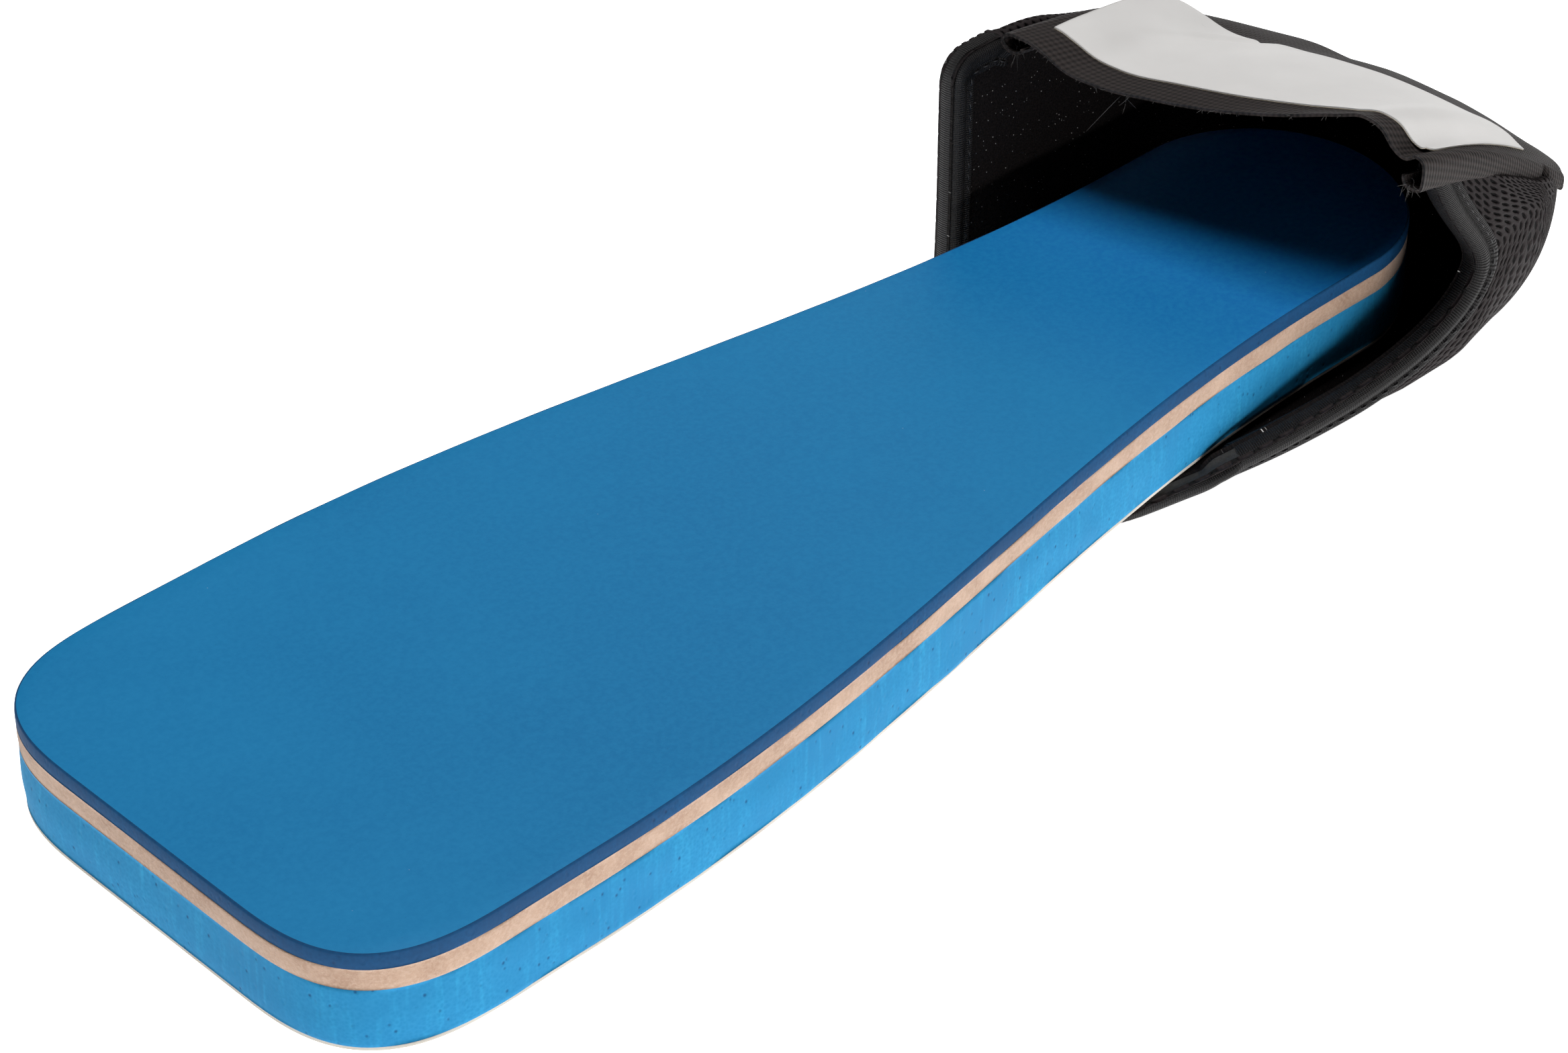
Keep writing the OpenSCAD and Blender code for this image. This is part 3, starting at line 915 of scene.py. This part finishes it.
def make_mesh_wall():
    """The knitted outer layer, with its slits sunk into the surface and its top edge rolled over."""
    run, up = wall_grid(FINE_ROWS, FINE_COLS)
    thick = MESH_T - LAYER_GAP
    outer, inner = (
        np.concatenate([wall_points(run, up, deep)[0], rolled_top(run[-1], up[-1], deep)])
        for deep in (0.0, thick)
    )
    uv = wall_uv(outer)
    sunk = outer + KNIT_DEPTH / thick * knit_slits(uv)[..., None] * (inner - outer)
    piece = shell("wall_mesh_face", sunk, inner, uv, [MESH_KNIT])
    stand_for(piece, "cup", "wall_mesh")


def make_wall_layer(name, node, deep, thick, material):
    """One layer of the wall, from a depth inwards."""
    outer, _ = wall_points(RUN, UP, deep)
    inner, _ = wall_points(RUN, UP, deep + thick)
    piece = shell(name, outer, inner, wall_uv(outer), [material])
    stand_for(piece, "cup", node)
    return piece, outer


def make_walls():
    make_mesh_wall()
    pad, _ = make_wall_layer("wall_pad", "wall_padding", MESH_T, PAD_T - LAYER_GAP, FOAM_PAD)
    pile, face = make_wall_layer("wall_pile", "wall_lining", MESH_T + PAD_T, LINING_T, PILE)


make_walls()

# ---- Cup floor ----

FLOOR_ROWS = 46


def floor_grid():
    """Plan of the floor inside the wall's foot: rows run from the front line to the back."""
    foot = wall_points(RUN[0], UP[0] * 0, 0.0)[0][:, None, :2]
    half = WALL_COLS // 2 + 1
    t = np.linspace(0, 1, FLOOR_ROWS)[:, None]
    return foot[:half] * (1 - t) + foot[::-1][:half] * t


def make_floor_layer(name, node, z0, z1, material):
    grid = floor_grid()[::-1]
    low, high = (np.concatenate([grid, np.full(grid.shape[:2] + (1,), z)], -1) for z in (z0, z1))
    piece = shell(name, low, high, grid, [material])
    stand_for(piece, "cup", node)
    return piece, high


def make_floor():
    cover, face = make_floor_layer("floor_cover_face", "floor_cover", 0.0, MESH_T - LAYER_GAP, CLOTH)
    pad, _ = make_floor_layer("floor_pad", "floor_padding", MESH_T, MESH_T + PAD_T - LAYER_GAP, FOAM_PAD)
    pile, face = make_floor_layer("floor_pile", "floor_lining", MESH_T + PAD_T, CUP_T, PILE)


make_floor()

# ---- Binding tape ----

TAPE_SMOOTHING = 16
TAPE_T = 0.45
TAPE_OFF_GROUND = 0.05
TAPE_T_LOW = 0.35
# Half of the tape's section: (inward from the edge, out from the wall's middle)
TAPE_SECTION = ((5.5, 1.95), (5.4, 2.35), (4.9, 2.5), (4.2, 2.3), (3.75, 2.05), (3.4, 2.35), (2.8, 2.75),
                (1.9, 2.95), (1.0, 2.65), (0.3, 2.0), (-0.1, 1.0), (-0.2, 0.0))


def tape_path():
    """Points and outward normals of the edge under the tape, from the right hem to the left."""
    right = resample(right_mouth(400)[::-1], 300)
    left = left_mouth(400)
    top_run = np.linspace(left[-1, 0], run_of(LID_LEFT_X + 5, 1), 60)[1:]
    top = np.stack([top_run, v_of(wall_top(top_run), top_run)], -1)
    left = resample(np.concatenate([left, top]), 260)
    right, left = (np.hstack(wall_points(*side.T, CUP_T / 2)) for side in (right, left))
    t = np.linspace(0, 1, 130)[1:-1, None]
    floor = right[-1] * (1 - t) + left[0] * t
    floor[:, 3:] = (0, 0, -1)
    merged = resample(np.concatenate([right, floor, left]), 760)
    for _ in range(TAPE_SMOOTHING):
        merged[1:-1] = (merged[:-2] + 2 * merged[1:-1] + merged[2:]) / 4
    return merged[:, :3], unit(merged[:, 3:])


def sweep(points, out, section, thick):
    """Grids of the outer and inner faces of a strip folded over an edge."""
    inward = unit(np.cross(out, unit(np.gradient(points, axis=0))))
    slope = unit(np.gradient(section, axis=0))
    under = section + thick * np.stack([-slope[:, 1], slope[:, 0]], -1)
    faces = []
    for shape in (section, under):
        sideways = inward[:, None] * shape[None, :, :1]
        faces.append(points[:, None] + sideways + out[:, None] * shape[None, :, 1:])
    return faces, inward


def make_tape():
    """The tape, with its section squashed where the board lies over it."""
    points, out = tape_path()
    half = np.array(TAPE_SECTION)
    section = resample(np.concatenate([half, (half * (1, -1))[::-1][1:]]), 61)
    (outer, inner), inward = sweep(points, out, section, TAPE_T)
    outer[..., 2] = np.maximum(outer[..., 2], TAPE_OFF_GROUND)
    inner[..., 2] = np.maximum(inner[..., 2], TAPE_OFF_GROUND + TAPE_T_LOW)
    low = outer[..., 2].min(1, keepdims=True)
    high = outer[..., 2].max(1, keepdims=True)
    kept = 1 - above_board(outer).max(1, keepdims=True) / (high - low)
    for face in (outer, inner):
        face[..., 2] = low + (face[..., 2] - low) * kept
    uv = np.stack(np.meshgrid(distances(points), distances(section), indexing="ij"), -1)
    piece = shell("mouth_tape", outer, inner, uv, [TAPE])
    stand_for(piece, "cup", "mouth_binding")
    return points, out, inward


TAPE_POINTS, TAPE_OUT, TAPE_IN = make_tape()

# ---- Lid ----

LID_ROWS = 120
LID_COLS = 170
HEM_COLS = 26
HEM_TURN = math.radians(262)
TURN_ROWS = 10
TURN_R = 2.2
HEM_TURN_R = 0.5
HEM_SQUARE = 0.62
HEM_COIL = 0.22
LEFT_HEM_WIDE = 1.45
RIGHT_HEM_WIDE = 0.8
RIGHT_HEM_TALL = 1.1
TURN_ANGLE = math.radians(75)


def lid_section(t):
    """The lid's upper face from inside the left hem to inside the right, at t from front to back."""
    y = np.linspace(LID_LEFT_Y, LID_RIGHT_Y, LID_COLS)
    x = lid_front_x(y) + (lid_back_x(y) - lid_front_x(y)) * t
    z = lid_middle(x, y)
    middle = np.stack([x, y, z], -1)
    turn = np.linspace(0, HEM_TURN, HEM_COLS)[1:]
    coil = 1 - HEM_COIL * turn / HEM_TURN
    left_r = LEFT_HEM_R * (1 - 0.45 * smoothstep(0.6, 1.0, t))
    pleat = 1 - 0.5 * bump(t - PLEAT_AT, 0.03) + 0.12 * bump(t - PLEAT_AT - 0.08, 0.07)
    right_r = right_hem_r(t) * pleat
    left = np.stack([
        np.full_like(turn, x[0]),
        y[0] + LEFT_HEM_WIDE * left_r * coil * np.sin(turn),
        z[0] - left_r + left_r * coil * np.cos(turn),
    ], -1)
    across, rise = (np.sign(w) * np.abs(w) ** HEM_SQUARE for w in (np.sin(turn), np.cos(turn)))
    right = np.stack([
        np.full_like(turn, x[-1]),
        y[-1] - RIGHT_HEM_WIDE * right_r * coil * across,
        z[-1] - RIGHT_HEM_TALL * right_r * (1 - coil * rise),
    ], -1)
    return np.concatenate([left[::-1], middle, right])


def lid_grid():
    rows = [lid_section(t) for t in np.linspace(0, 1, LID_ROWS)]
    last = rows[-1]
    forward = unit(last - rows[-2])
    down = np.array([0.0, 0.0, -1.0])
    reach = np.full((len(last), 1), TURN_R)
    reach[:HEM_COLS] = reach[-HEM_COLS:] = HEM_TURN_R
    for k in range(1, TURN_ROWS + 1):
        a = TURN_ANGLE * k / TURN_ROWS
        rows.append(last + reach * (math.sin(a) * forward + (1 - math.cos(a)) * down))
    return np.stack(rows)


def make_lid():
    top = lid_grid()
    low = top - LID_T * normals(top)
    along = added_up(steps(top).mean(1))
    across = added_up(steps(top, 1).mean(0))
    uv = np.stack(np.meshgrid(along, across, indexing="ij"), -1)
    piece = shell("lid_cloth", top, low, uv, [CLOTH])
    stand_for(piece, "cup", "lid_fabric")


make_lid()

# ---- Label ----

LABEL_CORNERS = ((83.3, 35.8), (97.8, -42.6), (131.5, -40.6), (118.3, 40.5))
LABEL_CREASE = ((0.31, 1.0), (0.12, 0.42))
LABEL_ROWS = 60
LABEL_COLS = 120
LABEL_CURL = 4.4
LABEL_RISE = 0.8
PAPER_T = 0.18
FILM_T = 0.12
FILM_LIFT = 0.05
PAPER_LIFT = 0.02


def label_grid():
    """The label's points in plan, and their places across it and from front to back."""
    a = np.linspace(0, 1, LABEL_COLS)[None, :, None]
    b = np.linspace(0, 1, LABEL_ROWS)[:, None, None]
    front_left, front_right, back_right, back_left = np.array(LABEL_CORNERS)
    front = (1 - a) * front_left + a * front_right
    back = (1 - a) * back_left + a * back_right
    x, y = np.moveaxis((1 - b) * front + b * back, -1, 0)
    return x, y, a[..., 0], b[..., 0]


def label_face(x, y, a, b, lift):
    """The label's face at a height over the lid, with its far left corner curled up."""
    flat = np.stack([x, y, lid_middle(x, y)], -1)
    curl = LABEL_CURL * np.clip(b - 0.3, 0, 1) ** 1.6 * np.clip(1 - a / 0.34, 0, 1) ** 1.5
    nick = LABEL_RISE * np.clip(1 - b / 0.12, 0, 1) ** 2 * np.clip((a - 0.9) / 0.1, 0, 1) ** 2
    (a0, b0), (a1, b1) = LABEL_CREASE
    beside = ((a - a0) * (b1 - b0) - (b - b0) * (a1 - a0)) / math.hypot(a1 - a0, b1 - b0)
    crease = LABEL_RISE * bump(beside, 0.03) * smoothstep(0.35, 0.8, b)
    fold = LABEL_RISE * smoothstep(0.3, 0.7, b) * bump(beside, 0.12)
    raised = lift + np.maximum(fold + curl + nick - crease, -0.02)
    return flat + normals(flat) * raised[..., None]


def make_label():
    low = FILM_LIFT + FILM_T + PAPER_LIFT
    levels = (FILM_LIFT, FILM_LIFT + FILM_T, low, low + PAPER_T)
    x, y, a, b = label_grid()
    faces = [label_face(x, y, a, b, level) for level in levels]
    uv = np.stack([y, x], -1)
    film = shell("label_film", faces[1], faces[0], uv, [FILM])
    paper = shell("label_sheet", faces[3], faces[2], uv, [PAPER])
    stand_for(film, "cup", "label_adhesive")
    stand_for(paper, "cup", "label_paper")


make_label()

# ---- Stitches ----

STITCH_LONG = 2.1
STITCH_GAP = 0.5
STITCH_R = 0.2
STITCH_IN = 4.35
STITCH_OUT = 2.42
STITCH_DIP = 0.35
STITCH_POINTS = 7
RIGHT_SHARE = 0.42
LEFT_SHARE = 0.62
TUBE_GUIDE = (0.3, 0.2, 0.93)
TUBE_END = 0.12


def tube(path, radius, sides):
    """Points and faces of a thin closed tube along a path, narrowing to its ends."""
    along = unit(np.gradient(path, axis=0))
    one = unit(np.cross(along, TUBE_GUIDE))
    two = np.cross(along, one)
    angle = np.linspace(0, math.tau, sides, endpoint=False)
    size = radius * np.sqrt(np.sin(np.linspace(TUBE_END, math.pi - TUBE_END, len(path))))
    ring = np.cos(angle)[None, :, None] * one[:, None] + np.sin(angle)[None, :, None] * two[:, None]
    points = path[:, None] + ring * size[:, None, None]
    faces = [list(f) for f in grid_faces(len(path), sides, wrap=True)]
    faces.append(list(range(sides)))
    faces.append(list(range((len(path) - 1) * sides, len(path) * sides))[::-1])
    return points.reshape(-1, 3), faces


def join_tubes(name, paths, radius, material, sides=6):
    points = []
    faces = []
    for path in paths:
        new_points, new_faces = tube(path, radius, sides)
        faces += [[i + len(points) for i in face] for face in new_faces]
        points += new_points.tolist()
    return make_piece(name, points, faces, None, [material])


def stitch_paths(part, height):
    """Short dipping threads along a part of the tape, at a height out from the wall's middle."""
    line = TAPE_POINTS[part] + TAPE_IN[part] * STITCH_IN + TAPE_OUT[part] * height
    length = distances(line)
    paths = []
    place = 0.5
    while place + STITCH_LONG < length[-1]:
        at = np.linspace(place, place + STITCH_LONG, STITCH_POINTS)
        dip = -STITCH_DIP * (1 - np.sin(np.linspace(0, math.pi, STITCH_POINTS)))
        out = points_at(at, length, TAPE_OUT[part])
        path = points_at(at, length, line) + out * dip[:, None] * np.sign(height)
        path[:, 2] = np.maximum(path[:, 2], STITCH_R + 0.02)
        paths.append(path)
        place += STITCH_LONG + STITCH_GAP
    return paths


def make_stitches():
    count = len(TAPE_POINTS)
    right = slice(0, int(count * RIGHT_SHARE))
    left = slice(int(count * LEFT_SHARE), count)
    rows = (("stitches_right", "right_stitching", right), ("stitches_left", "left_stitching", left))
    for name, node, part in rows:
        paths = stitch_paths(part, STITCH_OUT) + stitch_paths(part, -STITCH_OUT)
        stand_for(join_tubes(name, paths, STITCH_R, THREAD), "cup", node)


make_stitches()

# ---- Lint and frayed ends ----

LINT_R = 0.055
FRAY_COUNT = 90
# Place, heading, count and length of the loose fibres
TUFTS = (
    ((76.0, 38.5, 57.0), (-0.1, -0.25, -1.0), 12, 4.5),
    ((92.6, -43.5, 55.5), (-0.5, -0.1, -0.6), 14, 2.3),
    ((79.8, 14.0, 54.6), (-0.1, 0.2, -1.0), 4, 7.5),
)


def fibre(chance, start, heading, length):
    """A wavering fibre that starts near a point and runs roughly along a heading."""
    heading = unit(np.array(heading) + [chance.gauss(0, 0.35) for _ in range(3)])
    bend = np.array([chance.gauss(0, 0.3) for _ in range(3)])
    t = np.linspace(0, 1, 7)[:, None]
    return np.array(start) + length * (heading * t + bend * t * t)


def make_lint():
    chance = random.Random(41)
    paths = []
    for centre, heading, count, length in TUFTS:
        for _ in range(count):
            start = [c + chance.gauss(0, 0.5) for c in centre]
            paths.append(fibre(chance, start, heading, length * chance.uniform(0.4, 1.0)))
    for _ in range(FRAY_COUNT):
        y = chance.uniform(LID_RIGHT_Y, LID_LEFT_Y)
        x = float(lid_front_x(y))
        z = float(lid_middle(np.array(x), np.array(y))) - LID_T / 2
        paths.append(fibre(chance, (x + 0.3, y, z), (-0.8, 0, -0.3), chance.uniform(0.5, 1.1)))
    piece = join_tubes("lint", paths, LINT_R, LINT, sides=4)
    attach(piece, "cup")


make_lint()

# ---- Ground, light and finish ----

FLOOR_HALF = 3.0


def make_stage():
    mesh = bpy.data.meshes.new("floor")
    corners = [(FLOOR_HALF * x, FLOOR_HALF * y, 0) for x, y in ((-1, -1), (1, -1), (1, 1), (-1, 1))]
    mesh.from_pydata(corners, [], [(0, 1, 2, 3)])
    floor = new_object("floor", mesh)
    s = Shader("floor_look")
    grain = s.noise(s.place(), 300, 2)
    colour = s.ramp(grain, (0.3, 0.90), (0.7, 0.92))
    mesh.materials.append(s.finish(colour, 0.9, s.relief(grain, 0.02), specular=0.1,
                                   Emission_Color=(1, 1, 1, 1), Emission_Strength=1.0))


def area_light(name, at, look_at, size, power):
    data = bpy.data.lights.new(name, "AREA")
    data.shape = "RECTANGLE"
    data.size, data.size_y = size
    data.energy = power
    light = new_object(name, data)
    light.location = at
    light.rotation_euler = (Vector(look_at) - Vector(at)).to_track_quat("-Z", "Y").to_euler()


def make_light():
    world = bpy.data.worlds.new("world")
    world.use_nodes = True
    background = world.node_tree.nodes["Background"].inputs
    background["Color"].default_value = (1, 1, 1, 1)
    background["Strength"].default_value = 0.02
    bpy.context.scene.world = world
    area_light("overhead", (0.0, 0.0, 1.6), (0, 0, 0), (0.9, 0.9), 20.5)
    area_light("right_side", (-0.1, -1.3, 0.07), (0, 0, 0.02), (1.4, 0.12), 7)
    area_light("far_side", (1.1, 0.8, 0.9), (-0.1, 0, 0.02), (1.0, 1.0), 3)
    bpy.context.scene.view_settings.view_transform = "Standard"


make_stage()
make_light()
